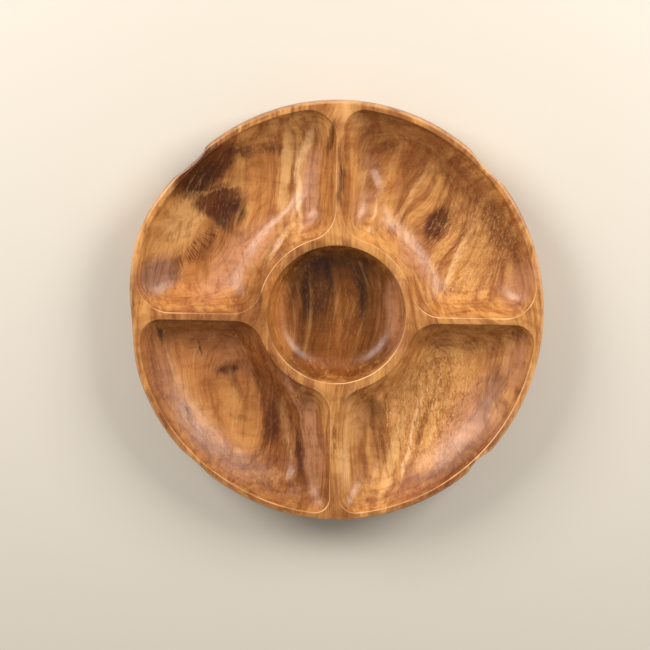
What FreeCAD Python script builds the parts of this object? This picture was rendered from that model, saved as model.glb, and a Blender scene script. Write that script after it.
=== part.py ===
"""Chip and dip server: a round platter carved from one blank of hardwood.

A dip bowl in the middle, four chip compartments round it, thin ribs between
them, and four shallow finger grips in the outer wall. Millimetres, +Z up,
origin in the middle of the flat base, +Y along the grain.
"""

import FreeCAD, Part
import math
import os

import Sketcher

NODE = "carved_tray"

# Driving dimensions: millimetres, and degrees for the two drafts.
DIMENSIONS = [
    ("outer_diameter", 356.0),
    ("total_height", 44.0),
    ("base_diameter", 300.0),
    ("widest_height", 28.0),
    ("rim_top_diameter", 352.6),
    ("rim_edge_radius", 2.2),
    ("rim_land", 6.3),
    ("bowl_diameter", 119.0),
    ("bowl_depth", 31.0),
    ("bowl_draft", 7.0),
    ("bowl_cove", 26.0),
    ("collar_land", 5.5),
    ("compartment_depth", 29.0),
    ("compartment_draft", 7.0),
    ("compartment_cove", 14.0),
    ("corner_at_rim", 19.0),
    ("corner_at_collar", 26.0),
    ("rib_up", 4.2),
    ("rib_down", 6.8),
    ("rib_left", 4.6),
    ("rib_right", 3.8),
    ("ribs_right_of_bowl", 0.7),
    ("ribs_below_bowl", 3.4),
    ("edge_softening", 0.8),
    ("grip_radius", 50.0),
    ("grip_bite", 5.4),
]

# Each compartment: its name, which side of the upright ribs it is on (+1 right,
# -1 left), which side of the cross ribs (+1 up, -1 down), the two ribs that bound
# it, and the direction of its finger grip in degrees.
COMPARTMENTS = [
    ("UpperRight", 1, 1, "rib_up", "rib_right", 45),
    ("UpperLeft", -1, 1, "rib_up", "rib_left", 135),
    ("LowerLeft", -1, -1, "rib_down", "rib_left", 225),
    ("LowerRight", 1, -1, "rib_down", "rib_right", 315),
]

# The numbers that stand for a curve's two ends and its centre, for a sketch's
# origin and for its upright axis.
START = 1
END = 2
CENTRE = 3
ORIGIN = (-1, START)
UPRIGHT_AXIS = -2

# How far apart two heights may be, in mm, and still count as one.
SAME_HEIGHT = 0.01

CUBIC_CM = 1000.0


def make_sheet(doc):
    """The driving dimensions, one named cell each."""
    sheet = doc.addObject("Spreadsheet::Sheet", "Dims")
    for row, (alias, value) in enumerate(DIMENSIONS, start=1):
        sheet.set("A%d" % row, alias)
        sheet.set("B%d" % row, str(value))
        sheet.setAlias("B%d" % row, alias)
    doc.recompute()
    return sheet


def new_sketch(body, name, role):
    """A sketch on one of the body's own origin planes."""
    plane = next(f for f in body.Origin.OriginFeatures if f.Role == role)
    sketch = body.newObject("Sketcher::SketchObject", name)
    sketch.AttachmentSupport = [(plane, "")]
    sketch.MapMode = "FlatFace"
    return sketch


def add_line(sketch, start, end):
    """A straight side of an outline: its number, first end and last end."""
    ends = [FreeCAD.Vector(x, y, 0) for x, y in (start, end)]
    index = sketch.addGeometry(Part.LineSegment(*ends), False)
    return index, START, END


def add_arc(sketch, centre, start, end):
    """The shorter arc from start to end: its number, first end and last end."""
    first, last = (math.atan2(y - centre[1], x - centre[0]) for x, y in (start, end))
    anticlockwise = (last - first) % (2 * math.pi) < math.pi
    middle = FreeCAD.Vector(centre[0], centre[1], 0)
    circle = Part.Circle(middle, FreeCAD.Vector(0, 0, 1), math.dist(centre, start))
    angles = (first, last) if anticlockwise else (last, first)
    index = sketch.addGeometry(Part.ArcOfCircle(circle, *angles), False)
    return (index, START, END) if anticlockwise else (index, END, START)


def fix(sketch, *rule):
    """A constraint that needs no number."""
    sketch.addConstraint(Sketcher.Constraint(*rule))


def size(sketch, name, expression, *rule):
    """A constraint whose number follows the sheet."""
    index = sketch.addConstraint(Sketcher.Constraint(*rule))
    sketch.renameConstraint(index, name)
    sketch.setExpression("Constraints." + name, expression)


def join(sketch, outline, kinds):
    """Joins each side of a closed outline to the next, in the way named."""
    following = outline[1:] + outline[:1]
    for (one, _, end), (two, start, _), kind in zip(outline, following, kinds):
        fix(sketch, kind, one, end, two, start)


def add_feature(doc, body, kind, name, sketch):
    """A feature made from a sketch; a revolved one turns about the Z axis."""
    feature = body.newObject("PartDesign::" + kind, name)
    feature.Profile = (sketch, [""])
    if kind in ("Revolution", "Groove"):
        feature.ReferenceAxis = (sketch, ["V_Axis"])
        feature.Angle = 360
    doc.recompute()
    return feature


def add_fillet(doc, body, name, expression, height, reach=math.inf):
    """Rounds the body's edges at one height, no further than reach from its axis."""

    def chosen(edge):
        box = edge.BoundBox
        level = max(abs(box.ZMin - height), abs(box.ZMax - height)) < SAME_HEIGHT
        end = edge.Vertexes[0]
        return level and math.hypot(end.X, end.Y) < reach

    base = body.Tip
    edges = enumerate(base.Shape.Edges, start=1)
    names = ["Edge%d" % number for number, edge in edges if chosen(edge)]
    if not names:
        raise RuntimeError(name + " found no edge to round")
    fillet = body.newObject("PartDesign::Fillet", name)
    fillet.Base = (base, names)
    fillet.setExpression("Radius", expression)
    doc.recompute()


def centre_of_side(widest, middle, x, z):
    """The centre of the arc that is upright at the widest point and meets x, z."""
    inward = widest - x
    radius = (inward**2 + (z - middle) ** 2) / (2 * inward)
    return widest - radius, middle


def make_blank(doc, body, dims):
    """The blank: a flat base, a rounded side that leans in a little, a soft rim."""
    base = dims.base_diameter / 2
    widest = dims.outer_diameter / 2
    rim = dims.rim_top_diameter / 2
    middle = dims.widest_height
    top = dims.total_height
    lower_centre = centre_of_side(widest, middle, base, 0)
    upper_centre = centre_of_side(widest, middle, rim, top)
    sketch = new_sketch(body, "BlankProfile", "XZ_Plane")
    bottom = add_line(sketch, (0, 0), (base, 0))
    lower = add_arc(sketch, lower_centre, (base, 0), (widest, middle))
    upper = add_arc(sketch, upper_centre, (widest, middle), (rim, top))
    land = add_line(sketch, (rim, top), (0, top))
    axis = add_line(sketch, (0, top), (0, 0))
    join(sketch, [bottom, lower, upper, land, axis], ["Coincident"] * 5)
    fix(sketch, "Coincident", bottom[0], START, *ORIGIN)
    fix(sketch, "Horizontal", bottom[0])
    fix(sketch, "Horizontal", land[0])
    fix(sketch, "Vertical", axis[0])
    waist = (lower[0], lower[2])
    fix(sketch, "Horizontal", lower[0], CENTRE, *waist)
    fix(sketch, "Horizontal", upper[0], CENTRE, *waist)
    across = ("DistanceX", *ORIGIN)
    upright = ("DistanceY", *ORIGIN)
    rim_end = (land[0], START)
    size(sketch, "base", "Dims.base_diameter / 2", *across, bottom[0], END, base)
    size(sketch, "widest", "Dims.outer_diameter / 2", *across, *waist, widest)
    size(sketch, "rim", "Dims.rim_top_diameter / 2", *across, *rim_end, rim)
    size(sketch, "middle", "Dims.widest_height", *upright, *waist, middle)
    size(sketch, "top", "Dims.total_height", *upright, *rim_end, top)
    add_feature(doc, body, "Revolution", "Blank", sketch)
    add_fillet(doc, body, "SoftRim", "Dims.rim_edge_radius", top)


def make_bowl(doc, body, dims):
    """The dip bowl: a steep wall that curves into a flat floor."""
    radius = dims.bowl_diameter / 2
    cove = dims.bowl_cove
    top = dims.total_height
    floor = top - dims.bowl_depth
    draft = math.radians(dims.bowl_draft)
    # The cove's centre is one cove radius from both the floor and the leaning wall.
    cove_x = radius - (dims.bowl_depth - cove) * math.tan(draft) - cove / math.cos(draft)
    cove_z = floor + cove
    foot = (cove_x + cove * math.cos(draft), cove_z - cove * math.sin(draft))
    sketch = new_sketch(body, "BowlProfile", "XZ_Plane")
    mouth = add_line(sketch, (0, top), (radius, top))
    wall = add_line(sketch, (radius, top), foot)
    curve = add_arc(sketch, (cove_x, cove_z), foot, (cove_x, floor))
    flat = add_line(sketch, (cove_x, floor), (0, floor))
    axis = add_line(sketch, (0, floor), (0, top))
    kinds = ["Coincident", "Tangent", "Tangent", "Coincident", "Coincident"]
    join(sketch, [mouth, wall, curve, flat, axis], kinds)
    fix(sketch, "Horizontal", mouth[0])
    fix(sketch, "Horizontal", flat[0])
    fix(sketch, "PointOnObject", mouth[0], START, UPRIGHT_AXIS)
    fix(sketch, "PointOnObject", axis[0], START, UPRIGHT_AXIS)
    lean = "-90 deg - Dims.bowl_draft * 1 deg"
    depth = "Dims.total_height - Dims.bowl_depth"
    across = ("DistanceX", mouth[0], START)
    upright = ("DistanceY", *ORIGIN)
    size(sketch, "radius", "Dims.bowl_diameter / 2", *across, mouth[0], END, radius)
    size(sketch, "lean", lean, "Angle", wall[0], -math.pi / 2 - draft)
    size(sketch, "cove", "Dims.bowl_cove", "Radius", curve[0], cove)
    size(sketch, "top", "Dims.total_height", *upright, mouth[0], END, top)
    size(sketch, "floor", depth, *upright, flat[0], END, floor)
    add_feature(doc, body, "Groove", "DipBowl", sketch)


def corner(line, side, radius, circle, outwards):
    """A rounded corner between a rib and a circle about the origin.

    The rib's face is at the coordinate line, and the compartment is on that side
    of it. Gives the corner's centre and its ends on the rib and on the circle, as
    (across the rib, along the rib).
    """
    across = line + side * radius
    reach = circle + radius if outwards else circle - radius
    along = math.sqrt(reach**2 - across**2)
    on_circle = (across * circle / reach, along * circle / reach)
    return (across, along), (line, along), on_circle


def compartment_sketch(body, dims, name, right, up, upright_rib, cross_rib):
    """One compartment's outline: rim, upright rib, collar and cross rib."""
    outer = dims.outer_diameter / 2 - dims.rim_land
    inner = dims.bowl_diameter / 2 + dims.collar_land
    rib_x = dims.ribs_right_of_bowl + right * dims.get(upright_rib) / 2
    rib_y = -dims.ribs_below_bowl + up * dims.get(cross_rib) / 2
    at_rim = dims.corner_at_rim
    at_collar = dims.corner_at_collar

    def beside_upright(point):
        return point[0], up * point[1]

    def beside_cross(point):
        return right * point[1], point[0]

    first = [beside_upright(p) for p in corner(rib_x, right, at_rim, outer, False)]
    second = [beside_upright(p) for p in corner(rib_x, right, at_collar, inner, True)]
    third = [beside_cross(p) for p in corner(rib_y, up, at_collar, inner, True)]
    fourth = [beside_cross(p) for p in corner(rib_y, up, at_rim, outer, False)]
    sketch = new_sketch(body, name + "Outline", "XY_Plane")
    sketch.setExpression("AttachmentOffset.Base.z", "Dims.total_height")
    rim = add_arc(sketch, (0, 0), fourth[2], first[2])
    corner_1 = add_arc(sketch, first[0], first[2], first[1])
    upright = add_line(sketch, first[1], second[1])
    corner_2 = add_arc(sketch, second[0], second[1], second[2])
    collar = add_arc(sketch, (0, 0), second[2], third[2])
    corner_3 = add_arc(sketch, third[0], third[2], third[1])
    cross = add_line(sketch, third[1], fourth[1])
    corner_4 = add_arc(sketch, fourth[0], fourth[1], fourth[2])
    outline = [rim, corner_1, upright, corner_2, collar, corner_3, cross, corner_4]
    join(sketch, outline, ["Tangent"] * len(outline))
    fix(sketch, "Coincident", rim[0], CENTRE, *ORIGIN)
    fix(sketch, "Coincident", collar[0], CENTRE, *ORIGIN)
    fix(sketch, "Vertical", upright[0])
    fix(sketch, "Horizontal", cross[0])
    rim_size = "Dims.outer_diameter / 2 - Dims.rim_land"
    collar_size = "Dims.bowl_diameter / 2 + Dims.collar_land"
    side_x = "Dims.ribs_right_of_bowl + %d * Dims.%s / 2" % (right, upright_rib)
    side_y = "-Dims.ribs_below_bowl + %d * Dims.%s / 2" % (up, cross_rib)
    size(sketch, "rim", rim_size, "Radius", rim[0], outer)
    size(sketch, "collar", collar_size, "Radius", collar[0], inner)
    size(sketch, "upright", side_x, "DistanceX", *ORIGIN, upright[0], START, rib_x)
    size(sketch, "cross", side_y, "DistanceY", *ORIGIN, cross[0], START, rib_y)
    for number, piece in ((1, corner_1), (4, corner_4)):
        label = "rim_corner_%d" % number
        size(sketch, label, "Dims.corner_at_rim", "Radius", piece[0], at_rim)
    for number, piece in ((2, corner_2), (3, corner_3)):
        label = "collar_corner_%d" % number
        size(sketch, label, "Dims.corner_at_collar", "Radius", piece[0], at_collar)
    return sketch


def make_compartment(doc, body, dims, name, right, up, upright_rib, cross_rib):
    """One chip compartment, narrower at its floor than at its mouth."""
    sketch = compartment_sketch(body, dims, name, right, up, upright_rib, cross_rib)
    before = body.Tip.Shape.Volume
    pocket = body.newObject("PartDesign::Pocket", name)
    pocket.Profile = (sketch, [""])
    pocket.Type = "Length"
    pocket.setExpression("Length", "Dims.compartment_depth")
    pocket.setExpression("TaperAngle", "-Dims.compartment_draft * 1 deg")
    doc.recompute()
    print("%s removes %.0f cm3" % (name, (before - pocket.Shape.Volume) / CUBIC_CM))


def make_grip(doc, body, name, direction):
    """A finger grip: a round scoop out of the outer wall, deepest at the rim."""
    grip = body.newObject("PartDesign::SubtractiveSphere", name + "Grip")
    plane = next(f for f in body.Origin.OriginFeatures if f.Role == "XY_Plane")
    grip.AttachmentSupport = [(plane, "")]
    grip.MapMode = "FlatFace"
    reach = "(Dims.outer_diameter / 2 - Dims.grip_bite + Dims.grip_radius)"
    grip.setExpression("AttachmentOffset.Base.x", "%s * cos(%d)" % (reach, direction))
    grip.setExpression("AttachmentOffset.Base.y", "%s * sin(%d)" % (reach, direction))
    grip.setExpression("AttachmentOffset.Base.z", "Dims.total_height")
    grip.setExpression("Radius", "Dims.grip_radius")
    doc.recompute()


def make_tray(doc, dims):
    """The whole platter, cut from its blank in the order a carver works."""
    body = doc.addObject("PartDesign::Body", "CarvedTray")
    body.Label = NODE
    body.Placement = FreeCAD.Placement()
    top = dims.total_height
    floor = top - dims.compartment_depth
    make_blank(doc, body, dims)
    make_bowl(doc, body, dims)
    for name, right, up, upright_rib, cross_rib, _ in COMPARTMENTS:
        make_compartment(doc, body, dims, name, right, up, upright_rib, cross_rib)
    # Only the mouths of the bowl and compartments, not the rim's rounded edge.
    mouths = dims.outer_diameter / 2 - dims.rim_land + SAME_HEIGHT
    add_fillet(doc, body, "FloorCoves", "Dims.compartment_cove", floor)
    add_fillet(doc, body, "SoftEdges", "Dims.edge_softening", top, mouths)
    for name, _, _, _, _, direction in COMPARTMENTS:
        make_grip(doc, body, name, direction)
    return body


def check(doc, parts):
    """Stops with a message if anything in the document failed."""
    for item in doc.Objects:
        if "Invalid" in item.State or "Error" in item.State:
            raise RuntimeError("%s failed: %s" % (item.Name, item.State))
    for part in parts:
        shape = part.Shape
        if shape.isNull() or not shape.isValid() or len(shape.Solids) != 1:
            raise RuntimeError(part.Label + " is not one valid solid")


def main():
    doc = FreeCAD.newDocument("ChipAndDipServer")
    dims = make_sheet(doc)
    parts = [make_tray(doc, dims)]
    doc.recompute()
    check(doc, parts)
    os.makedirs("parts", exist_ok=True)
    for part in parts:
        part.Shape.exportStep(os.path.join("parts", part.Label + ".step"))
        box = part.Shape.optimalBoundingBox()
        lengths = (box.XLength, box.YLength, box.ZLength)
        print(part.Label, "%.1f x %.1f x %.1f mm" % lengths)
        print("volume %.0f cm3" % (part.Shape.Volume / CUBIC_CM))


main()
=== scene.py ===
"""The looks of a chip and dip server: one round platter carved from figured hardwood.

Metres, in the solid model's frame: +Z up out of the hollows, +Y along the grain.
The carved piece stands for the plain solid, inside the same box.
"""

import math

import bmesh
import bpy
from mathutils import Matrix, Vector, noise


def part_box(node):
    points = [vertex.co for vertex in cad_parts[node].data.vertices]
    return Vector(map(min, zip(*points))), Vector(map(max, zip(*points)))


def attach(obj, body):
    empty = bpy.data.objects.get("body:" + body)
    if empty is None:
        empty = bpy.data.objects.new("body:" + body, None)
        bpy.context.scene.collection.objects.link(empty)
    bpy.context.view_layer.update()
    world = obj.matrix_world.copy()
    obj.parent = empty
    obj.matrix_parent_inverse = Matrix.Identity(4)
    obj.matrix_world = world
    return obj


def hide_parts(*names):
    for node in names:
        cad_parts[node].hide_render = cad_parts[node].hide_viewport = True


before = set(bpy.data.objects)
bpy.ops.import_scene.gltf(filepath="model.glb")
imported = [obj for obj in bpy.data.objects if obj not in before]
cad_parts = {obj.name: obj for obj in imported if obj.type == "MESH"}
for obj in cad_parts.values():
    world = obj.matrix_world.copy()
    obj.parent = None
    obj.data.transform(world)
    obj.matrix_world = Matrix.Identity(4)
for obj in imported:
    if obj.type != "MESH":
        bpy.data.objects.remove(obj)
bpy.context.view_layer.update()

MM = 0.001
cad_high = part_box("carved_tray")[1]
TRAY_RADIUS = cad_high.x
TRAY_TOP = cad_high.z

# The plan of the carving, and the side's widest line. The ribs cross a little to the
# right of the bowl's middle, and below it.
RIM_TOP_RADIUS = TRAY_RADIUS - 1.7 * MM
WIDEST_HEIGHT = 28 * MM
BASE_RADIUS = 150 * MM
COMPARTMENT_RADIUS = TRAY_RADIUS - 6.3 * MM
BOWL_RADIUS = 58.8 * MM
COLLAR_RADIUS = 65 * MM
RIBS_RIGHT = 0.7 * MM
RIBS_BELOW = 3.4 * MM

# The blank has shrunk across the grain, most at the rim.
SHRINKAGE = 0.014

# The bowl: a nearly upright wall, then a cove down to its floor.
BOWL_DEPTH = 30 * MM
BOWL_WALL = 12 * MM
BOWL_LEAN = 7
BOWL_COVE = 18 * MM

# The compartments: a short steep lip, then a dish that goes on falling a long way in.
# Its inner walls fall steeper than the wall at the rim, and walls meet softly.
COMPARTMENT_DEPTH = 28.5 * MM
LIP_DEPTH = 2.2 * MM
LIP_REACH = 2.5 * MM
DISH_REACH = 46 * MM
DISH_CURVE = 2.1
STEEPER = 1.35
CORNER_SOFTNESS = 9 * MM
DISH_MIDDLE = 84 * MM

# How round the edges of the mouths and of the rim are.
EDGE = 0.9 * MM
RIM_EDGE = 2.0 * MM

# How much lower than the rest the land is sanded in places, and how far the side and
# the floors wander.
LAND_SANDING = 0.5 * MM
SIDE_WANDER = 0.2 * MM
FLOOR_WANDER = 1.0 * MM

# How many points each ring of the side, the bowl and a compartment has.
SIDE_POINTS = 560
BOWL_POINTS = 192
COMPARTMENT_POINTS = 288

# Each compartment: its side (+1 right, +1 up), then in mm the thickness of its upright
# rib and of its cross rib, and its four corner radii: rim and upright rib, collar and
# upright rib, collar and cross rib, rim and cross rib.
COMPARTMENTS = {
    "upper_right": (1, 1, 4.2, 3.8, (18, 26, 26, 26)),
    "upper_left": (-1, 1, 4.2, 4.6, (24, 26, 26, 26)),
    "lower_left": (-1, -1, 6.8, 4.6, (13, 26, 26, 18)),
    "lower_right": (1, -1, 6.8, 3.8, (15, 26, 26, 18)),
}

# Each finger grip: its direction in degrees, then in mm how far it runs anticlockwise
# and clockwise round the rim, and how deep it bites at the top.
GRIPS = [
    (133, 25, 13, 5.6),
    (45, 21, 21, 4.3),
    (227, 22, 18, 3.2),
    (315, 17, 15, 4.6),
]
GRIP_HEIGHT = 36 * MM

# Past its ends a grip's scoop stands this far clear of the side.
GRIP_CLEARANCE = 4 * MM

# Where the plan is fuller or leaner than a circle: direction in degrees, how far it
# spreads in degrees, and how much at the rim, in mm.
SWELLS = [
    (157, 12, 3.0),
    (184, 9, -3.0),
    (20, 26, -0.8),
    (350, 22, -0.8),
    (240, 12, -0.8),
]

# Soft crests where two scoops meet, each a line of points from the bowl's middle, its
# height and how far it spreads to either side, all in mm.
CRESTS = [
    ([(-73, -24), (-52, -48), (-34, -70), (-26, -100), (-30, -138), (-40, -153)], 8.5, 6),
    ([(18, -62), (36, -70), (45, -92), (44, -128), (34, -155)], 6.0, 6),
    ([(16, 58), (24, 68), (31, 84), (32, 102), (26, 124)], 5.5, 6),
    ([(-22, 122), (-28, 96), (-41, 74), (-55, 56), (-66, 30)], 5.5, 6),
]
CREST_ROUNDING = 3


# ---------------------------------------------------------------- small tools


def smooth_step(part):
    """Eases a number that goes from 0 to 1."""
    part = min(max(part, 0.0), 1.0)
    return part * part * (3 - 2 * part)


def angle_from(direction, angle):
    """How far an angle is from a direction in degrees, the short way, in radians."""
    return (angle - math.radians(direction) + math.pi) % (2 * math.pi) - math.pi


def quarter_turn(steps):
    """The angles of a quarter turn after its start, in equal steps."""
    return [math.radians(90) * step / steps for step in range(1, steps + 1)]


def arc(centre, start, end, steps=24):
    """Points along the shorter arc from start to end, without the last one."""
    first, last = (math.atan2(p.y - centre.y, p.x - centre.x) for p in (start, end))
    turn = (last - first + math.pi) % (2 * math.pi) - math.pi
    radius = (start - centre).length
    angles = [first + turn * i / steps for i in range(steps)]
    return [centre + radius * Vector((math.cos(a), math.sin(a))) for a in angles]


def spread_evenly(path, count):
    """The closed path again, as count points the same distance apart."""
    closed = path + path[:1]
    sides = [(b - a).length for a, b in zip(closed, closed[1:])]
    step = sum(sides) / count
    points = []
    side, walked = 0, 0.0
    for number in range(count):
        target = number * step
        while walked + sides[side] < target:
            walked += sides[side]
            side += 1
        part = (target - walked) / sides[side]
        points.append(closed[side].lerp(closed[side + 1], part))
    return points


def inward_normals(points):
    """Unit normals of an anticlockwise outline, pointing into it."""
    around = zip(points[-1:] + points[:-1], points[1:] + points[:1])
    runs = [after - before for before, after in around]
    return [Vector((-run.y, run.x)).normalized() for run in runs]


def start_ring(bm, points):
    """A ring of vertices at the points, begun as a circle."""
    made = bmesh.ops.create_circle(bm, cap_ends=False, radius=1, segments=len(points))
    ring = made["verts"][:1]
    while len(ring) < len(points):
        beside = [edge.other_vert(ring[-1]) for edge in ring[-1].link_edges]
        ring.append(next(vert for vert in beside if vert not in ring[-2:]))
    for vert, point in zip(ring, points):
        vert.co = point
    return ring


def share_of_edge_highlight(normals):
    """How much painted highlight each point of an edge gets: a little everywhere, most where it
    faces up and left.
    """
    return [0.15 + 0.85 * max(0.0, 0.87 * n.y - 0.5 * n.x) for n in normals]


def next_ring(bm, ring, points, highlight_shares=None):
    """Extrudes the ring into a band of faces, and moves its new edge to the points.

    The last argument gives each new point its share of the painted highlight along the edge.
    """
    layer = bm.verts.layers.float["painted_edge_highlight"]
    edges = [bm.edges.get(pair) for pair in zip(ring, ring[1:] + ring[:1])]
    made = bmesh.ops.extrude_edge_only(bm, edges=edges)["geom"]
    fresh = {item for item in made if isinstance(item, bmesh.types.BMVert)}
    following = []
    for vert, point in zip(ring, points):
        others = (edge.other_vert(vert) for edge in vert.link_edges)
        new = next(other for other in others if other in fresh)
        following.append(new)
    for new, point, pale in zip(following, points, highlight_shares or [0.0] * len(points)):
        new.co = point
        new[layer] = pale
    return following


def close_ring(bm, ring, point):
    """Gathers the last ring at one point."""
    bmesh.ops.pointmerge(bm, verts=ring, merge_co=point)


# ---------------------------------------------------------------- the hand of the carver


def unevenness(x, y, size, seed):
    """A slow wander between -1 and 1, as a hand-held cutter leaves."""
    return noise.noise(Vector((x / size, y / size, seed * 7.3)))


def land_height(point):
    """The tops of the rim, ribs and collar, sanded a little low here and there."""
    dip = 0.5 + 0.5 * unevenness(point.x, point.y, 60 * MM, 1)
    return TRAY_TOP - LAND_SANDING * dip


def crest_height(x, y):
    """How far the crests between scoops stand above the dished floor."""
    point = Vector((x, y)) / MM
    rise = 0.0
    for line, height, spread in CRESTS:
        count = len(line) - 1
        for index, (start, end) in enumerate(zip(line, line[1:])):
            start, end = Vector(start), Vector(end)
            run = end - start
            part = min(max((point - start).dot(run) / run.length_squared, 0), 1)
            away = (point - start - part * run).length
            along = (index + part) / count
            fade = math.sin(math.pi * min(max(along, 0.03), 0.97)) ** 0.6
            soft = math.hypot(away, CREST_ROUNDING) - CREST_ROUNDING
            rise = max(rise, height * fade * math.exp(-soft / spread))
    return rise * MM


def grip_radius(angle, height):
    """How far out the finger grips leave the wood at that angle and height."""
    upright = max(0.0, 1 - ((TRAY_TOP - height) / GRIP_HEIGHT) ** 2)
    radius = TRAY_RADIUS + GRIP_CLEARANCE
    for direction, one_way, other_way, depth in GRIPS:
        along = angle_from(direction, angle) * TRAY_RADIUS / MM
        part = along / (one_way if along > 0 else other_way)
        if abs(part) < 1.3:
            radius = min(radius, TRAY_RADIUS - depth * MM * (1 - part**2) * upright)
    return radius


def swell(angle):
    """How much fuller than a circle the plan is in one direction."""
    fuller = 0.0
    for direction, spread, change in SWELLS:
        away = math.degrees(angle_from(direction, angle))
        fuller += change * MM * math.exp(-((away / spread) ** 2))
    return fuller


def side_radius(angle, height):
    """The radius of the platter's side, before its rim is rounded."""
    if height >= WIDEST_HEIGHT:
        rise = (height - WIDEST_HEIGHT) / (TRAY_TOP - WIDEST_HEIGHT)
        radius = TRAY_RADIUS - (TRAY_RADIUS - RIM_TOP_RADIUS) * rise**2
    else:
        drop = 1 - height / WIDEST_HEIGHT
        curve = 1 - math.sqrt(max(0.0, 1 - drop * drop))
        radius = TRAY_RADIUS - (TRAY_RADIUS - BASE_RADIUS) * curve
    radius -= SIDE_WANDER * (1 + unevenness(math.cos(angle), math.sin(angle), 0.6, 3))
    grip = grip_radius(angle, height)
    softness = 0.5 * MM
    return (radius + grip - math.hypot(radius - grip, softness)) / 2


# ---------------------------------------------------------------- the platter


def compartment_outline(side, rib_x, rib_y, corners):
    """One compartment's mouth, anticlockwise, in the plan of the rim."""

    def rounded(line, radius, circle, outwards, swapped):
        """Centre and both ends of a corner between a rib's face and a circle."""
        reach = circle + radius if outwards else circle - radius
        across = line + radius
        along = math.sqrt(reach**2 - across**2)
        on_circle = Vector((across, along)) * (circle / reach)
        three = [Vector((across, along)), Vector((line, along)), on_circle]
        return [Vector((p.y, p.x)) for p in three] if swapped else three

    radii = [radius * MM for radius in corners]
    rim_up = rounded(rib_x, radii[0], COMPARTMENT_RADIUS, False, False)
    collar_up = rounded(rib_x, radii[1], COLLAR_RADIUS, True, False)
    collar_across = rounded(rib_y, radii[2], COLLAR_RADIUS, True, True)
    rim_across = rounded(rib_y, radii[3], COMPARTMENT_RADIUS, False, True)
    middle = Vector((0, 0))
    path = arc(middle, rim_across[2], rim_up[2], 60)
    path += arc(rim_up[0], rim_up[2], rim_up[1])
    path += [rim_up[1]]
    path += arc(collar_up[0], collar_up[1], collar_up[2])
    path += arc(middle, collar_up[2], collar_across[2], 40)
    path += arc(collar_across[0], collar_across[2], collar_across[1])
    path += [collar_across[1]]
    path += arc(rim_across[0], rim_across[1], rim_across[2])
    path = [Vector((p.x * side[0], p.y * side[1])) for p in path]
    if side[0] * side[1] < 0:
        path.reverse()
    return spread_evenly(path, COMPARTMENT_POINTS)


def bowl_profile():
    """How the bowl's wall falls: pairs of distance in from the edge and depth.

    A rounded edge, a nearly upright stretch, then a wide cove down to the floor.
    """
    pairs = []
    for turn in [0.0] + quarter_turn(4)[:-1]:
        pairs.append((EDGE * math.sin(turn), EDGE * (1 - math.cos(turn))))
    foot = EDGE + (BOWL_WALL - EDGE) * math.tan(math.radians(BOWL_LEAN))
    for step in range(5):
        part = step / 5
        pairs.append((EDGE + (foot - EDGE) * part, EDGE + (BOWL_WALL - EDGE) * part))
    for turn in [0.0] + quarter_turn(14):
        across = foot + BOWL_COVE * (1 - math.cos(turn))
        pairs.append((across, BOWL_WALL + (BOWL_DEPTH - BOWL_WALL) * math.sin(turn)))
    return pairs


def clearance(point, side, rib_x, rib_y):
    """A soft distance to the walls of a compartment, with no creases in corners.

    The ribs and the collar count for more than the rim, so their walls fall steeper.
    """
    x, y = point.x * side[0], point.y * side[1]
    reach = math.hypot(x, y)
    walls = (
        COMPARTMENT_RADIUS - reach,
        STEEPER * (x - rib_x),
        STEEPER * (y - rib_y),
        STEEPER * (reach - COLLAR_RADIUS),
    )
    return -CORNER_SOFTNESS * math.log(sum(math.exp(-d / CORNER_SOFTNESS) for d in walls))


def dish_depth(inward):
    """How deep a compartment is at a distance in from its edge."""
    if inward < EDGE:
        return EDGE - math.sqrt(EDGE**2 - inward**2)
    lip = LIP_DEPTH * smooth_step((inward - EDGE * 0.4) / LIP_REACH)
    part = min(1.0, (inward - EDGE) / DISH_REACH)
    dish = (COMPARTMENT_DEPTH - EDGE - LIP_DEPTH) * (1 - (1 - part) ** DISH_CURVE)
    return EDGE + lip + dish


def carve_compartment(bm, outline, side, rib_x, rib_y):
    """The dish of one compartment, ring by ring from its mouth."""
    pole = Vector(side) * DISH_MIDDLE
    normals = inward_normals(outline)
    # Painted highlight along the mouth's rounded edge, most where it faces up and left.
    pale = share_of_edge_highlight(normals)
    lip_end = 4 * MM
    below_lip = [point + normal * lip_end for point, normal in zip(outline, normals)]
    at_edge = [clearance(point, side, rib_x, rib_y) for point in outline]

    def carved(point, inward):
        """The carved surface under a point of the plan that is that far in."""
        floor = smooth_step(inward / (18 * MM))
        wander = 0.7 * unevenness(point.x, point.y, 38 * MM, 5)
        wander += 0.3 * unevenness(point.x, point.y, 15 * MM, 9)
        lift = (crest_height(point.x, point.y) + wander * FLOOR_WANDER) * floor
        top = land_height(point) * (1 - floor) + TRAY_TOP * floor
        return point.x, point.y, top - dish_depth(inward) + lift

    first = ring = start_ring(bm, [(p.x, p.y, land_height(p)) for p in outline])
    round_edge = [EDGE * math.sin(turn) for turn in quarter_turn(4)]
    for inward in round_edge + [1.3 * MM, 1.9 * MM, 2.6 * MM, 3.3 * MM, lip_end]:
        points = [point + normal * inward for point, normal in zip(outline, normals)]
        points = [carved(point, inward) for point in points]
        ring = next_ring(bm, ring, points, pale if inward < EDGE else None)

    # Past the lip the distance in is eased over to the soft one, which has no creases.
    floor_rings = 34
    for step in range(1, floor_rings):
        part = (step / floor_rings) ** 1.15
        points = []
        for start, normal, edge in zip(below_lip, normals, at_edge):
            here = start.lerp(pole, part)
            walked = part * (pole - start).length
            straight = lip_end + part * (pole - start).dot(normal)
            soft = clearance(here, side, rib_x, rib_y)
            soft -= edge * math.exp(-(lip_end + walked) / CORNER_SOFTNESS)
            share = smooth_step(walked / CORNER_SOFTNESS)
            inward = max(lip_end, straight * (1 - share) + soft * share)
            points.append(carved(here, inward))
        ring = next_ring(bm, ring, points)
    close_ring(bm, ring, carved(pole, clearance(pole, side, rib_x, rib_y)))
    return first


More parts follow.
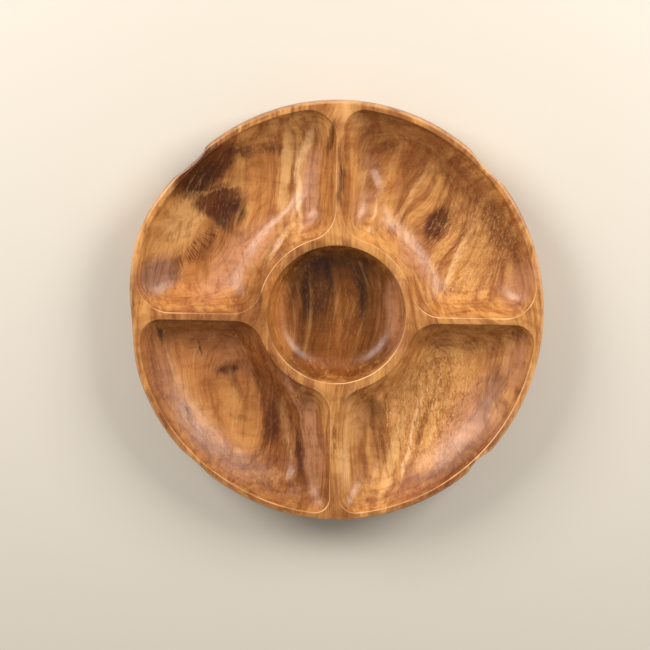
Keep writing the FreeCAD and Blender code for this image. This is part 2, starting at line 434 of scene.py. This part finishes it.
def carve_bowl(bm):
    """The dip bowl's wall and floor."""
    angles = [2 * math.pi * number / BOWL_POINTS for number in range(BOWL_POINTS)]
    around = [Vector((math.cos(angle), math.sin(angle))) for angle in angles]
    # Painted highlight along the bowl's rounded edge, most where it faces up and left.
    pale = share_of_edge_highlight([-way for way in around])
    profile = bowl_profile()
    mouth = [way * BOWL_RADIUS for way in around]
    first = ring = start_ring(bm, [(p.x, p.y, land_height(p)) for p in mouth])
    for inward, depth in profile[1:]:
        points = [way * (BOWL_RADIUS - inward) for way in around]
        points = [(p.x, p.y, land_height(p) - depth) for p in points]
        ring = next_ring(bm, ring, points, pale if 0 < depth < EDGE else None)
    floor_radius = BOWL_RADIUS - profile[-1][0]
    floor = TRAY_TOP - BOWL_DEPTH
    floor_rings = 10
    for step in range(1, floor_rings):
        radius = floor_radius * (1 - step / floor_rings)
        ring = next_ring(bm, ring, [(way.x * radius, way.y * radius, floor) for way in around])
    close_ring(bm, ring, (0, 0, floor))
    return first


def carve_side(bm):
    """The rounded rim edge, the side with its finger grips, and the flat base."""
    angles = [2 * math.pi * number / SIDE_POINTS for number in range(SIDE_POINTS)]

    def level(radii, heights):
        """A ring of places at those radii and heights."""
        rows = zip(angles, radii, heights)
        return [(reach * math.cos(a), reach * math.sin(a), height) for a, reach, height in rows]

    def side(heights):
        """A ring of places on the side at those heights."""
        radii = [side_radius(angle, height) for angle, height in zip(angles, heights)]
        return level(radii, heights)

    # The rim's edge is rounded less where a grip makes the rim narrow.
    rims = [side_radius(angle, TRAY_TOP) for angle in angles]
    edges = [min(RIM_EDGE, 0.45 * (rim - COMPARTMENT_RADIUS)) for rim in rims]
    lands = [rim - edge for rim, edge in zip(rims, edges)]
    tops = [land_height(Vector(place)) for place in level(lands, [0.0] * SIDE_POINTS)]
    first = ring = start_ring(bm, level(lands, tops))
    # The rim's rounded edge gets an even share of painted highlight all the way round.
    highlight_amount = [0.35] * SIDE_POINTS
    for turn, pale in zip(quarter_turn(4), (highlight_amount, highlight_amount, highlight_amount, None)):
        heights = [top - edge * (1 - math.cos(turn)) for top, edge in zip(tops, edges)]
        rows = zip(angles, heights, edges)
        radii = [side_radius(a, height) - edge * (1 - math.sin(turn)) for a, height, edge in rows]
        ring = next_ring(bm, ring, level(radii, heights), pale)

    side_top = [top - edge for top, edge in zip(tops, edges)]
    upper_rings = 12
    for step in range(1, upper_rings + 1):
        part = step / upper_rings
        ring = next_ring(bm, ring, side([t + (WIDEST_HEIGHT - t) * part for t in side_top]))
    for turn in quarter_turn(14):
        ring = next_ring(bm, ring, side([WIDEST_HEIGHT * (1 - math.sin(turn))] * SIDE_POINTS))
    for radius in (140, 110, 75, 40, 12):
        flat = level([radius * MM] * SIDE_POINTS, [0.0] * SIDE_POINTS)
        ring = next_ring(bm, ring, flat)
    close_ring(bm, ring, (0, 0, 0))
    return first


def shrink_and_swell(bm):
    """Takes the whole plan out of round, from nothing at the collar to most at the rim."""
    for vert in bm.verts:
        reach = math.hypot(vert.co.x, vert.co.y)
        part = smooth_step((reach - COLLAR_RADIUS) / (COMPARTMENT_RADIUS - COLLAR_RADIUS))
        angle = math.atan2(vert.co.y, vert.co.x)
        fuller = 1 + swell(angle) * part / max(reach, COLLAR_RADIUS)
        vert.co.x *= fuller * (1 - SHRINKAGE * part)
        vert.co.y *= fuller


def build_platter():
    """The whole platter: its hollows and its side, joined by the land between them."""
    bm = bmesh.new()
    # Each point's share of the painted highlight along the rounded edges.
    bm.verts.layers.float.new("painted_edge_highlight")
    mouths = [carve_side(bm), carve_bowl(bm)]
    for side_x, side_y, upright_rib, cross_rib, corners in COMPARTMENTS.values():
        side = (side_x, side_y)
        rib_x = side_x * RIBS_RIGHT + upright_rib * MM / 2
        rib_y = -side_y * RIBS_BELOW + cross_rib * MM / 2
        outline = compartment_outline(side, rib_x, rib_y, corners)
        mouths.append(carve_compartment(bm, outline, side, rib_x, rib_y))
    land = []
    for ring in mouths:
        land += [bm.edges.get(pair) for pair in zip(ring, ring[1:] + ring[:1])]
    bmesh.ops.triangle_fill(bm, use_beauty=True, edges=land)
    bmesh.ops.remove_doubles(bm, verts=bm.verts, dist=0.001 * MM)
    bmesh.ops.recalc_face_normals(bm, faces=bm.faces)
    shrink_and_swell(bm)
    mesh = bpy.data.meshes.new("carved_platter")
    bm.to_mesh(mesh)
    bm.free()
    mesh.shade_smooth()
    platter = bpy.data.objects.new("carved_platter", mesh)
    bpy.context.scene.collection.objects.link(platter)
    return platter


# ---------------------------------------------------------------- the room


def add_camera():
    """Looks down on the platter from a little above its upper edge."""
    distance = 1.2
    lean = math.radians(8)
    roll = math.radians(0.9)
    middle = Vector((0, 0, TRAY_TOP))
    place = middle + distance * Vector((0, math.sin(lean), math.cos(lean)))
    aim = middle + Vector((-9.3 * MM, -8.5 * MM, 0))
    back = (place - aim).normalized()
    right = Vector((-math.sin(roll), math.cos(roll), 0)).cross(back).normalized()
    up = back.cross(right)
    turn = Matrix((right, up, back)).transposed()
    data = bpy.data.cameras.new("camera")
    data.sensor_width = 36
    data.lens = 79.7
    camera = bpy.data.objects.new("camera", data)
    camera.matrix_world = Matrix.Translation(place) @ turn.to_4x4()
    bpy.context.scene.collection.objects.link(camera)
    bpy.context.scene.camera = camera


def add_light(name, place, size, power, colour):
    """A square soft box that faces the platter."""
    data = bpy.data.lights.new(name, "AREA")
    data.shape = "SQUARE"
    data.size = size
    data.energy = power
    data.color = colour
    light = bpy.data.objects.new(name, data)
    facing = Vector(place).to_track_quat("Z", "Y")
    light.matrix_world = Matrix.Translation(place) @ facing.to_matrix().to_4x4()
    bpy.context.scene.collection.objects.link(light)


def add_daylight():
    """Two soft windows behind the platter's upper edge, and a warm, dim room."""
    bpy.context.scene.view_settings.view_transform = "Standard"
    add_light("left_window", (-0.95, 0.72, 0.85), 0.7, 17, (1, 0.91, 0.81))
    add_light("right_window", (0.95, 0.68, 0.85), 0.7, 17, (1, 0.91, 0.81))
    world = bpy.data.worlds.new("room")
    world.use_nodes = True
    world.node_tree.nodes["Background"].inputs["Color"].default_value = (1, 0.92, 0.80, 1)
    world.node_tree.nodes["Background"].inputs["Strength"].default_value = 0.33
    bpy.context.scene.world = world


def add_floor():
    """A plain pale floor, under the flat base."""
    bm = bmesh.new()
    bmesh.ops.create_grid(bm, x_segments=1, y_segments=1, size=6)
    mesh = bpy.data.meshes.new("floor")
    bm.to_mesh(mesh)
    bm.free()
    floor = bpy.data.objects.new("floor", mesh)
    bpy.context.scene.collection.objects.link(floor)
    material = bpy.data.materials.new("pale_floor")
    material.use_nodes = True
    shader = material.node_tree.nodes["Principled BSDF"]
    shader.inputs["Base Color"].default_value = (0.69, 0.68, 0.64, 1)
    shader.inputs["Roughness"].default_value = 0.9
    mesh.materials.append(material)


# ---------------------------------------------------------------- the wood


def screen(red, green, blue):
    """A colour from screen values of 0 to 255, as linear light."""
    parts = [value / 255 for value in (red, green, blue)]
    linear = [p / 12.92 if p <= 0.04045 else ((p + 0.055) / 1.055) ** 2.4 for p in parts]
    return linear + [1]


# Colours of the wood, and two that also stand for painted sheen.
WOOD_AND_SHEEN = {
    "pith": screen(60, 24, 2),
    "heart": screen(94, 43, 6),
    "umber": screen(138, 79, 32),
    "brown": screen(166, 105, 55),
    "olive": screen(128, 74, 18),
    "clay": screen(168, 108, 68),
    "tan": screen(188, 136, 88),
    # pink wood, and also a painted pink sheen where the figure puts it on the walls
    "rose_and_pink_sheen": screen(200, 142, 106),
    # only a painted greyish sheen, not a colour of the wood
    "painted_lilac_sheen": screen(150, 108, 92),
    "amber": screen(194, 128, 66),
    "gold": screen(214, 156, 91),
    "straw": screen(230, 180, 118),
    "cream": screen(244, 200, 150),
}

# What darker growth does to the colour around it.
DEEPER = (0.58, 0.46, 0.32, 1)

# The figure of the plank, with painted sheen and highlights among it, in mm from the
# bowl's middle: a colour of wood or of painted sheen, where its middle lies, half its
# length and half its width, how far it is turned from the +X direction in degrees, how
# soft its edge is and how strongly it shows.
FIGURE_AND_PAINTED_SHEEN = [
    # upper left: sapwood, then heart, then pale stripes up to the rib
    ("gold", -142, 72, 42, 24, 52, 0.30, 0.85),
    ("straw", -128, 80, 26, 12, 60, 0.40, 0.70),
    ("amber", -118, 28, 44, 20, 12, 0.40, 0.70),
    # a painted greyish sheen on the wall near the rim
    ("painted_lilac_sheen", -150, 32, 18, 13, 45, 0.50, 0.85),
    ("heart", -112, 120, 34, 13, 40, 0.35, 1.00),
    ("pith", -116, 112, 17, 8, 42, 0.45, 0.80),
    ("heart", -78, 137, 30, 4, 8, 0.60, 0.80),
    ("heart", -100, 96, 20, 13, 14, 0.25, 0.95),
    ("heart", -93, 84, 15, 14, 0, 0.25, 0.90),
    ("pith", -90, 82, 13, 9, 50, 0.60, 0.70),
    ("umber", -84, 70, 14, 8, -60, 0.60, 0.70),
    ("straw", -99, 106, 23, 1.0, 14, 0.50, 0.40),
    ("umber", -107, 56, 16, 9, 40, 0.60, 0.70),
    ("amber", -67, 108, 36, 9, 92, 0.50, 0.70),
    # a painted pink highlight on the wall by the collar
    ("rose_and_pink_sheen", -84, 46, 46, 14, 48, 0.50, 0.85),
    ("straw", -45, 121, 36, 4.5, 86, 0.40, 0.80),
    ("cream", -29, 138, 18, 4, 72, 0.50, 0.85),
    ("cream", -34, 102, 34, 2.6, 92, 0.50, 0.85),
    # a painted pink highlight on the wall by the rib
    ("rose_and_pink_sheen", -24, 104, 34, 8, 84, 0.40, 0.90),
    ("amber", -12, 91, 30, 6, 92, 0.50, 0.55),
    ("heart", -7, 146, 13, 3, 76, 0.50, 0.85),
    ("umber", -52, 48, 26, 7, 62, 0.50, 0.75),
    ("straw", -46, 64, 24, 1.8, 60, 0.50, 0.70),
    # upper right: brown with amber streaks that lean to the right
    ("umber", 34, 148, 26, 14, 70, 0.50, 0.60),
    ("amber", 47, 114, 34, 4, 66, 0.50, 0.80),
    ("gold", 40, 92, 16, 3, 60, 0.50, 0.70),
    ("umber", 66, 132, 34, 12, 66, 0.50, 0.70),
    ("umber", 98, 120, 30, 10, -46, 0.40, 0.70),
    ("heart", 84, 80, 17, 9, 64, 0.40, 1.00),
    ("gold", 40, 56, 30, 12, -28, 0.50, 0.85),
    # two small painted pink highlights on the walls by the rib and by the collar
    ("rose_and_pink_sheen", 22, 94, 14, 8, 70, 0.50, 0.70),
    ("rose_and_pink_sheen", 66, 48, 20, 9, -48, 0.50, 0.70),
    ("gold", 112, 40, 34, 14, 66, 0.50, 0.85),
    ("straw", 106, 58, 30, 2.5, 70, 0.50, 0.70),
    ("cream", 98, 44, 26, 1.6, 70, 0.50, 0.70),
    ("straw", 60, 100, 26, 2.0, 62, 0.50, 0.60),
    ("umber", 140, 70, 34, 10, -62, 0.50, 0.70),
    # a painted pink sheen on the wall by the rim
    ("rose_and_pink_sheen", 154, 30, 20, 12, 60, 0.50, 0.80),
    # lower left: an egg of amber round a dark knot, brown bands running round it
    ("clay", -88, -72, 86, 52, -58, 0.25, 0.80),
    ("umber", -62, -124, 70, 26, -34, 0.50, 0.90),
    ("umber", -50, -84, 46, 12, -72, 0.50, 0.85),
    ("umber", -34, -112, 40, 6, 94, 0.50, 0.80),
    ("tan", -62, -140, 28, 5, -4, 0.50, 0.65),
    ("tan", -40, -106, 26, 4, -76, 0.50, 0.65),
    ("clay", -98, -124, 32, 6, -36, 0.50, 0.60),
    ("amber", -100, -66, 62, 31, -64, 0.06, 0.60),
    ("gold", -82, -96, 30, 12, -64, 0.50, 0.50),
    ("gold", -122, -72, 34, 8, -62, 0.50, 0.45),
    ("clay", -104, -32, 34, 17, -34, 0.40, 0.60),
    ("clay", -152, -44, 34, 8, -72, 0.50, 0.70),
    ("umber", -76, -24, 24, 5, -40, 0.50, 0.80),
    ("umber", -65, -58, 30, 4, -78, 0.50, 0.70),
    ("heart", -54, -95, 18, 6, 86, 0.45, 0.90),
    ("heart", -30, -114, 24, 3, 92, 0.50, 0.80),
    ("umber", -146, -20, 15, 8, 20, 0.50, 0.60),
    ("pith", -149, -19, 7, 2, 100, 0.60, 0.90),
    ("heart", -92, -47, 10, 5, 20, 0.80, 1.00),
    ("pith", -91, -48, 6, 3, 10, 0.70, 1.00),
    ("umber", -87, -60, 15, 4, -66, 0.60, 0.80),
    ("pith", -116, -31, 5, 1.4, 100, 0.50, 0.90),
    ("pith", -127, -85, 5, 1.2, -60, 0.50, 0.80),
    ("umber", -46, -48, 28, 4, -50, 0.50, 0.80),
    # a thin painted highlight along the crest, then a painted pink sheen on the lobe by the rib
    ("rose_and_pink_sheen", -32, -76, 30, 3, -66, 0.50, 0.70),
    ("rose_and_pink_sheen", -18, -118, 42, 9, -86, 0.40, 1.00),
    ("umber", -12, -104, 26, 2, -84, 0.50, 0.60),
    # lower right: a brown lobe, bright streaks, then curly gold and pink, with a painted pink
    # sheen on the outer wall
    ("gold", 82, -74, 56, 36, 60, 0.35, 0.80),
    ("umber", 36, -98, 28, 6, 100, 0.50, 0.60),
    ("tan", 20, -92, 18, 8, 70, 0.50, 0.70),
    ("umber", 25, -122, 30, 3, 88, 0.50, 0.50),
    ("straw", 11, -112, 40, 7, 88, 0.50, 0.85),
    ("cream", 9, -128, 18, 3.5, 90, 0.50, 0.75),
    ("straw", 50, -122, 38, 4.5, 76, 0.45, 0.85),
    ("cream", 66, -108, 38, 1.8, 76, 0.45, 0.80),
    ("umber", 76, -98, 36, 2.2, 74, 0.50, 0.60),
    ("straw", 88, -92, 34, 2.2, 70, 0.50, 0.60),
    # a painted pink sheen on the outer wall
    ("rose_and_pink_sheen", 112, -86, 44, 13, 60, 0.45, 0.80),
    ("rose_and_pink_sheen", 118, -112, 44, 12, 46, 0.45, 0.80),
    ("umber", 134, -62, 24, 8, 70, 0.50, 0.85),
    ("umber", 104, -130, 44, 9, 42, 0.50, 0.90),
    ("clay", 70, -148, 24, 10, 20, 0.50, 0.80),
    ("umber", 62, -20, 34, 7, -8, 0.50, 0.60),
    ("rose_and_pink_sheen", 152, -42, 22, 10, 84, 0.50, 0.60),
    # the ribs, collar and rim
    ("heart", 2, 108, 16, 3, 90, 0.70, 0.80),
    ("umber", -1, -100, 5, 1.4, 90, 0.70, 0.80),
    ("heart", 0, -114, 4, 1.2, 90, 0.70, 0.60),
    ("umber", -112, -2, 26, 4, 0, 0.70, 0.60),
    ("gold", 2, 66, 30, 5, 0, 0.60, 0.60),
    ("straw", 8, 172, 12, 9, 70, 0.60, 0.60),
    ("umber", -70, 0, 30, 16, 80, 0.60, 0.80),
    ("heart", -174, 4, 34, 5, 90, 0.60, 0.70),
    ("umber", -150, -92, 60, 6, -60, 0.60, 0.60),
    ("umber", -171, -36, 44, 6, -78, 0.60, 0.60),
    ("umber", -120, 132, 34, 4, 42, 0.60, 0.50),
    ("umber", 150, 92, 34, 4, -60, 0.60, 0.60),
    ("umber", -60, 168, 50, 5, 20, 0.60, 0.60),
    ("cream", 126, 125, 15, 3, -45, 0.50, 0.80),
    ("straw", 124, -122, 13, 3, 45, 0.50, 0.80),
    ("gold", -124, 128, 14, 3, 46, 0.50, 0.35),
]

# The bowl's own figure, told in the same way: dark heart with upright stripes, and
# amber at its left wall.
BOWL_FIGURE = [
    ("olive", 0, 0, 57, 55, 0, 0.06, 1.00),
    ("pith", -20, 24, 30, 16, 92, 0.55, 0.60),
    ("pith", -6, 36, 15, 4, 96, 0.60, 0.80),
    ("pith", -26, 18, 20, 4, 88, 0.60, 0.60),
    ("pith", 22, 20, 28, 5, 94, 0.55, 0.60),
    ("pith", 20, 18, 13, 2, 94, 0.60, 0.80),
    ("brown", 2, 2, 44, 3, 92, 0.50, 0.60),
    ("brown", 36, 8, 34, 3, 92, 0.50, 0.70),
    ("brown", -34, -6, 36, 3, 88, 0.50, 0.60),
    ("amber", -48, 2, 42, 9, 98, 0.35, 0.90),
    ("umber", -12, -42, 24, 10, 0, 0.50, 0.90),
    ("umber", 12, -22, 34, 4, 90, 0.50, 0.70),
    ("rose_and_pink_sheen", 49, 2, 32, 7, 92, 0.50, 0.70),
]


class Graph:
    """A small helper that adds shader nodes and joins them up."""

    def __init__(self, tree):
        self.tree = tree

    def add(self, kind, **settings):
        node = self.tree.nodes.new(kind)
        for name, value in settings.items():
            setattr(node, name, value)
        return node

    def feed(self, socket, value):
        if isinstance(value, bpy.types.NodeSocket):
            self.tree.links.new(value, socket)
        else:
            socket.default_value = value

    def sum(self, operation, first, second=0.0, clamp=False):
        node = self.add("ShaderNodeMath", operation=operation, use_clamp=clamp)
        self.feed(node.inputs[0], first)
        self.feed(node.inputs[1], second)
        return node.outputs[0]

    def vector(self, operation, first, second=(0, 0, 0)):
        node = self.add("ShaderNodeVectorMath", operation=operation)
        self.feed(node.inputs[0], first)
        self.feed(node.inputs[1], second)
        return node.outputs[0]

    def dot(self, first, second):
        node = self.add("ShaderNodeVectorMath", operation="DOT_PRODUCT")
        self.feed(node.inputs[0], first)
        self.feed(node.inputs[1], second)
        return node.outputs["Value"]

    def joined(self, x=0.0, y=0.0, z=0.0):
        node = self.add("ShaderNodeCombineXYZ")
        for socket, value in zip(node.inputs, (x, y, z)):
            self.feed(socket, value)
        return node.outputs[0]

    def noise(self, place, size, detail=3.0, rough=0.5, wander=0.0, output=0):
        """Noise whose blotches are about size across, in mm along X, Y and Z."""
        node = self.add("ShaderNodeTexNoise")
        stretched = self.vector("DIVIDE", place, size)
        self.feed(node.inputs["Vector"], stretched)
        node.inputs["Scale"].default_value = 1.0
        node.inputs["Detail"].default_value = detail
        node.inputs["Roughness"].default_value = rough
        node.inputs["Distortion"].default_value = wander
        return node.outputs[output]

    def between(self, value, low, high, bottom=0.0, top=1.0):
        """The value's way from low to high, eased, as a number from bottom to top."""
        node = self.add("ShaderNodeMapRange", interpolation_type="SMOOTHSTEP")
        self.feed(node.inputs["Value"], value)
        self.feed(node.inputs["From Min"], low)
        self.feed(node.inputs["From Max"], high)
        self.feed(node.inputs["To Min"], bottom)
        self.feed(node.inputs["To Max"], top)
        return node.outputs[0]

    def mix(self, share, first, second, blend="MIX"):
        node = self.add("ShaderNodeMix", data_type="RGBA", blend_type=blend)
        self.feed(node.inputs[0], share)
        self.feed(node.inputs[6], first)
        self.feed(node.inputs[7], second)
        return node.outputs[2]


def make_oval():
    """A node group: the mask of one soft-edged oval of wood.

    Along and Across are the oval's two directions, each divided by its half length.
    """
    group = bpy.data.node_groups.new("oval_of_wood", "ShaderNodeTree")
    for name in ("Vector", "Place", "Along", "Across"):
        group.interface.new_socket(name, in_out="INPUT", socket_type="NodeSocketVector")
    group.interface.new_socket("Softness", in_out="INPUT", socket_type="NodeSocketFloat")
    for name in ("Mask", "Reach"):
        group.interface.new_socket(name, in_out="OUTPUT", socket_type="NodeSocketFloat")
    graph = Graph(group)
    start = graph.add("NodeGroupInput")
    end = graph.add("NodeGroupOutput")
    away = graph.vector("SUBTRACT", start.outputs["Vector"], start.outputs["Place"])
    squares = []
    for name in ("Along", "Across"):
        share = graph.dot(away, start.outputs[name])
        squares.append(graph.sum("MULTIPLY", share, share))
    reach = graph.sum("SQRT", graph.sum("ADD", squares[0], squares[1]))
    outer = graph.sum("ADD", 1.0, start.outputs["Softness"])
    inner = graph.sum("SUBTRACT", 1.0, start.outputs["Softness"])
    graph.feed(end.inputs["Mask"], graph.between(reach, outer, inner))
    graph.feed(end.inputs["Reach"], reach)
    return group


def oval_node(graph, group, place, x, y, length, width, turn):
    """One oval of the figure, placed and turned."""
    node = graph.add("ShaderNodeGroup", node_tree=group)
    graph.feed(node.inputs["Vector"], place)
    turn = math.radians(turn)
    node.inputs["Place"].default_value = (x, y, 0)
    node.inputs["Along"].default_value = (math.cos(turn) / length, math.sin(turn) / length, 0)
    node.inputs["Across"].default_value = (-math.sin(turn) / width, math.cos(turn) / width, 0)
    return node


def add_oval(graph, group, place, x, y, length, width, turn, soft, strength):
    """The mask of one oval of the figure."""
    node = oval_node(graph, group, place, x, y, length, width, turn)
    node.inputs["Softness"].default_value = soft
    return graph.sum("MULTIPLY", node.outputs["Mask"], strength)


def add_reach(graph, group, place, x, y, length, width, turn):
    """How far out a place lies from an oval's middle: 1 on the oval itself."""
    return oval_node(graph, group, place, x, y, length, width, turn).outputs["Reach"]


def add_polar(graph, place, x, y):
    """The angle round a point of the plan, and the distance from it."""
    away = graph.vector("SUBTRACT", place, (x, y, 0))
    apart = graph.add("ShaderNodeSeparateXYZ")
    graph.feed(apart.inputs[0], away)
    across, up = apart.outputs[0], apart.outputs[1]
    squares = graph.sum("MULTIPLY", across, across), graph.sum("MULTIPLY", up, up)
    return graph.sum("ARCTAN2", up, across), graph.sum("SQRT", graph.sum("ADD", *squares))


def spread_of(graph, place, size, detail, rough, reach):
    """A wander of the place: noise in each direction, up to reach mm from end to end."""
    wander = graph.noise(place, size, detail, rough, output=1)
    return graph.vector("MULTIPLY", graph.vector("SUBTRACT", wander, (0.5, 0.5, 0.5)), reach)


def darkened(graph, colour, cause, light, dark, strength):
    """The colour deepened as the cause falls from light to dark."""
    return graph.mix(graph.between(cause, light, dark, 0, strength), colour, DEEPER, "MULTIPLY")


def add_streaks(graph, grain, colour):
    """Bands along the grain, layers cut by the hollows, and fibres. Also gives the fibres."""
    band = graph.noise(grain, (5, 110, 6), 4.0, 0.6)
    colour = darkened(graph, colour, band, 0.50, 0.34, 0.65)
    colour = graph.mix(graph.between(band, 0.55, 0.72, 0, 0.30), colour, WOOD_AND_SHEEN["straw"])
    layer = graph.noise(grain, (60, 90, 2.2), 3.0, 0.6)
    colour = darkened(graph, colour, layer, 0.50, 0.36, 0.45)
    sway = graph.noise(grain, (20, 8, 20), 2.0, 0.5)
    colour = darkened(graph, colour, sway, 0.52, 0.36, 0.35)
    fibre = graph.noise(grain, (0.9, 26, 1.4), 4.0, 0.7)
    colour = darkened(graph, colour, fibre, 0.46, 0.30, 0.40)
    colour = graph.mix(graph.between(fibre, 0.56, 0.74, 0, 0.14), colour, WOOD_AND_SHEEN["straw"])
    return colour, fibre


def add_growth_lines(graph, group, leaning, patchy, colour):
    """Growth lines round the sapwood, the dark ticks across them, and rings round the egg."""
    round_sapwood, from_sapwood = add_polar(graph, leaning, -142, 80)
    polar = graph.joined(graph.sum("MULTIPLY", round_sapwood, 36.0), from_sapwood)
    ticks = graph.noise(polar, (1.2, 16, 1), 2.0, 0.5)
    where = add_oval(graph, group, leaning, -119, 56, 24, 6, 46, 0.4, 0.85)
    ticks = graph.sum("MULTIPLY", graph.between(ticks, 0.50, 0.40), where)
    colour = graph.mix(ticks, colour, WOOD_AND_SHEEN["heart"])
    lines = graph.noise(polar, (40, 1.1, 1), 2.0, 0.5)
    where = add_oval(graph, group, leaning, -98, 62, 30, 13, 80, 0.5, 0.6)
    lines = graph.sum("MULTIPLY", graph.between(lines, 0.52, 0.38), where)
    colour = graph.mix(lines, colour, DEEPER, "MULTIPLY")

    # The rings are faint inside the egg and stronger round it.
    reach = add_reach(graph, group, patchy, -100, -64, 62, 30, -64)
    rings = graph.joined(graph.sum("MULTIPLY", reach, 30.0), graph.dot(patchy, (0.03, 0.03, 0)))
    rings = graph.noise(rings, (1.6, 1, 1), 3.0, 0.6)
    where = add_oval(graph, group, leaning, -70, -96, 74, 50, -50, 0.3, 0.75)
    where = graph.sum("MULTIPLY", where, graph.between(reach, 0.85, 1.15, 0.12, 1.0))
    rings = graph.sum("MULTIPLY", graph.between(rings, 0.54, 0.38), where)
    return graph.mix(rings, colour, DEEPER, "MULTIPLY")


def add_curl(graph, group, grain, patchy, colour):
    """Curly figure, strongest in the lower right and faint all over."""
    curl = graph.noise(grain, (1.5, 6, 4), 3.0, 0.65, 1.6)
    lower = add_oval(graph, group, patchy, 80, -76, 58, 34, 62, 0.5, 1.0)
    upper = add_oval(graph, group, patchy, 112, 58, 44, 36, 60, 0.5, 0.8)
    share = graph.sum("MAXIMUM", graph.sum("MAXIMUM", lower, upper), 0.16)
    shade = graph.sum("MULTIPLY", graph.between(curl, 0.50, 0.34), share)
    shine = graph.sum("MULTIPLY", graph.between(curl, 0.52, 0.70), share)
    colour = graph.mix(graph.sum("MULTIPLY", shade, 0.90), colour, DEEPER, "MULTIPLY")
    return graph.mix(graph.sum("MULTIPLY", shine, 0.70), colour, WOOD_AND_SHEEN["cream"])


def paint_highlight_on_edges(graph, group, place, colour):
    """A painted highlight along the rounded edges, patchy, least along the upper left scoop's
    rib.
    """
    highlight_shares = graph.add("ShaderNodeAttribute", attribute_name="painted_edge_highlight").outputs["Fac"]
    highlight_amount = graph.between(graph.noise(place, (24, 24, 24), 2.0, 0.6), 0.40, 0.58, 0.35, 0.90)
    spared = add_oval(graph, group, place, -100, 10, 56, 12, 0, 0.3, 0.8)
    highlight_amount = graph.sum("MULTIPLY", highlight_amount, graph.sum("SUBTRACT", 1.0, spared))
    return graph.mix(graph.sum("MULTIPLY", highlight_shares, highlight_amount), colour, WOOD_AND_SHEEN["cream"])


def make_wood():
    """Figured hardwood, its grain along Y, under a satin finish."""
    material = bpy.data.materials.new("carved_wood")
    material.use_nodes = True
    graph = Graph(material.node_tree)
    shader = material.node_tree.nodes["Principled BSDF"]
    group = make_oval()
    coordinates = graph.add("ShaderNodeTexCoord").outputs["Object"]
    place = graph.vector("MULTIPLY", coordinates, (1000, 1000, 1000))

    # The grain wanders slowly, and leans to the right towards the top of the upper right.
    slow = spread_of(graph, place, (55, 90, 60), 1.0, 0.4, (44, 20, 24))
    upper_right = add_oval(graph, group, place, 104, 96, 74, 84, 0, 0.6, -0.5)
    height = graph.sum("SUBTRACT", graph.dot(place, (0, 1, 0)), 84.0)
    lean = graph.joined(x=graph.sum("MULTIPLY", upper_right, height))
    grain = graph.vector("ADD", graph.vector("ADD", place, slow), lean)

    # The figure leans along the grain with depth, and its edges are ragged.
    below = graph.sum("SUBTRACT", 6.0, graph.dot(place, (0, 0, 0.136)))
    leaning = graph.vector("ADD", place, graph.joined(y=below))
    ragged = spread_of(graph, grain, (1.6, 30, 2.2), 3.0, 0.65, (3, 12, 0))
    loose = spread_of(graph, place, (16, 22, 16), 3.0, 0.6, (11, 13, 0))
    patchy = graph.vector("ADD", graph.vector("ADD", leaning, ragged), loose)

    # The plank's own colour, then its figure with the painted sheen and highlights, one oval
    # after another.
    streak = graph.noise(grain, (9, 95, 12), 5.0, 0.62)
    colour = graph.mix(graph.between(streak, 0.38, 0.62), WOOD_AND_SHEEN["brown"], WOOD_AND_SHEEN["gold"])
    for name, *oval in FIGURE_AND_PAINTED_SHEEN:
        colour = graph.mix(add_oval(graph, group, patchy, *oval), colour, WOOD_AND_SHEEN[name])

    # The bowl's dark heart ends above the base.
    dip = colour
    for name, *oval in BOWL_FIGURE:
        dip = graph.mix(add_oval(graph, group, patchy, *oval), dip, WOOD_AND_SHEEN[name])
    above_base = graph.between(graph.dot(place, (0, 0, 1)), 4.0, 11.0)
    colour = graph.mix(above_base, colour, dip)

    colour, fibre = add_streaks(graph, grain, colour)
    colour = add_growth_lines(graph, group, leaning, patchy, colour)
    colour = add_curl(graph, group, grain, patchy, colour)

    # Open pores: short dark dashes along the grain.
    pores = graph.between(graph.noise(grain, (0.45, 7, 0.45), 2.0, 0.6), 0.36, 0.28)
    colour = graph.mix(graph.sum("MULTIPLY", pores, 0.55), colour, WOOD_AND_SHEEN["pith"])
    # A painted highlight along the rounded edges.
    colour = paint_highlight_on_edges(graph, group, place, colour)

    # The satin finish, a little uneven, over pores and fibres that can just be felt.
    graph.feed(shader.inputs["Base Color"], colour)
    rough = graph.between(graph.noise(place, (7, 30, 7), 4.0, 0.6), 0.3, 0.7, 0.32, 0.48)
    graph.feed(shader.inputs["Roughness"], rough)
    shader.inputs["Specular IOR Level"].default_value = 0.32
    shader.inputs["Coat Weight"].default_value = 0.25
    shader.inputs["Coat Roughness"].default_value = 0.22
    bump = graph.add("ShaderNodeBump")
    bump.inputs["Strength"].default_value = 0.25
    bump.inputs["Distance"].default_value = 0.3 * MM
    graph.feed(bump.inputs["Height"], graph.sum("SUBTRACT", fibre, pores))
    graph.feed(shader.inputs["Normal"], bump.outputs["Normal"])
    return material


# ---------------------------------------------------------------- all together


add_camera()
add_daylight()
add_floor()
platter = build_platter()
platter.data.materials.append(make_wood())
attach(platter, "root")
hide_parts("carved_tray")
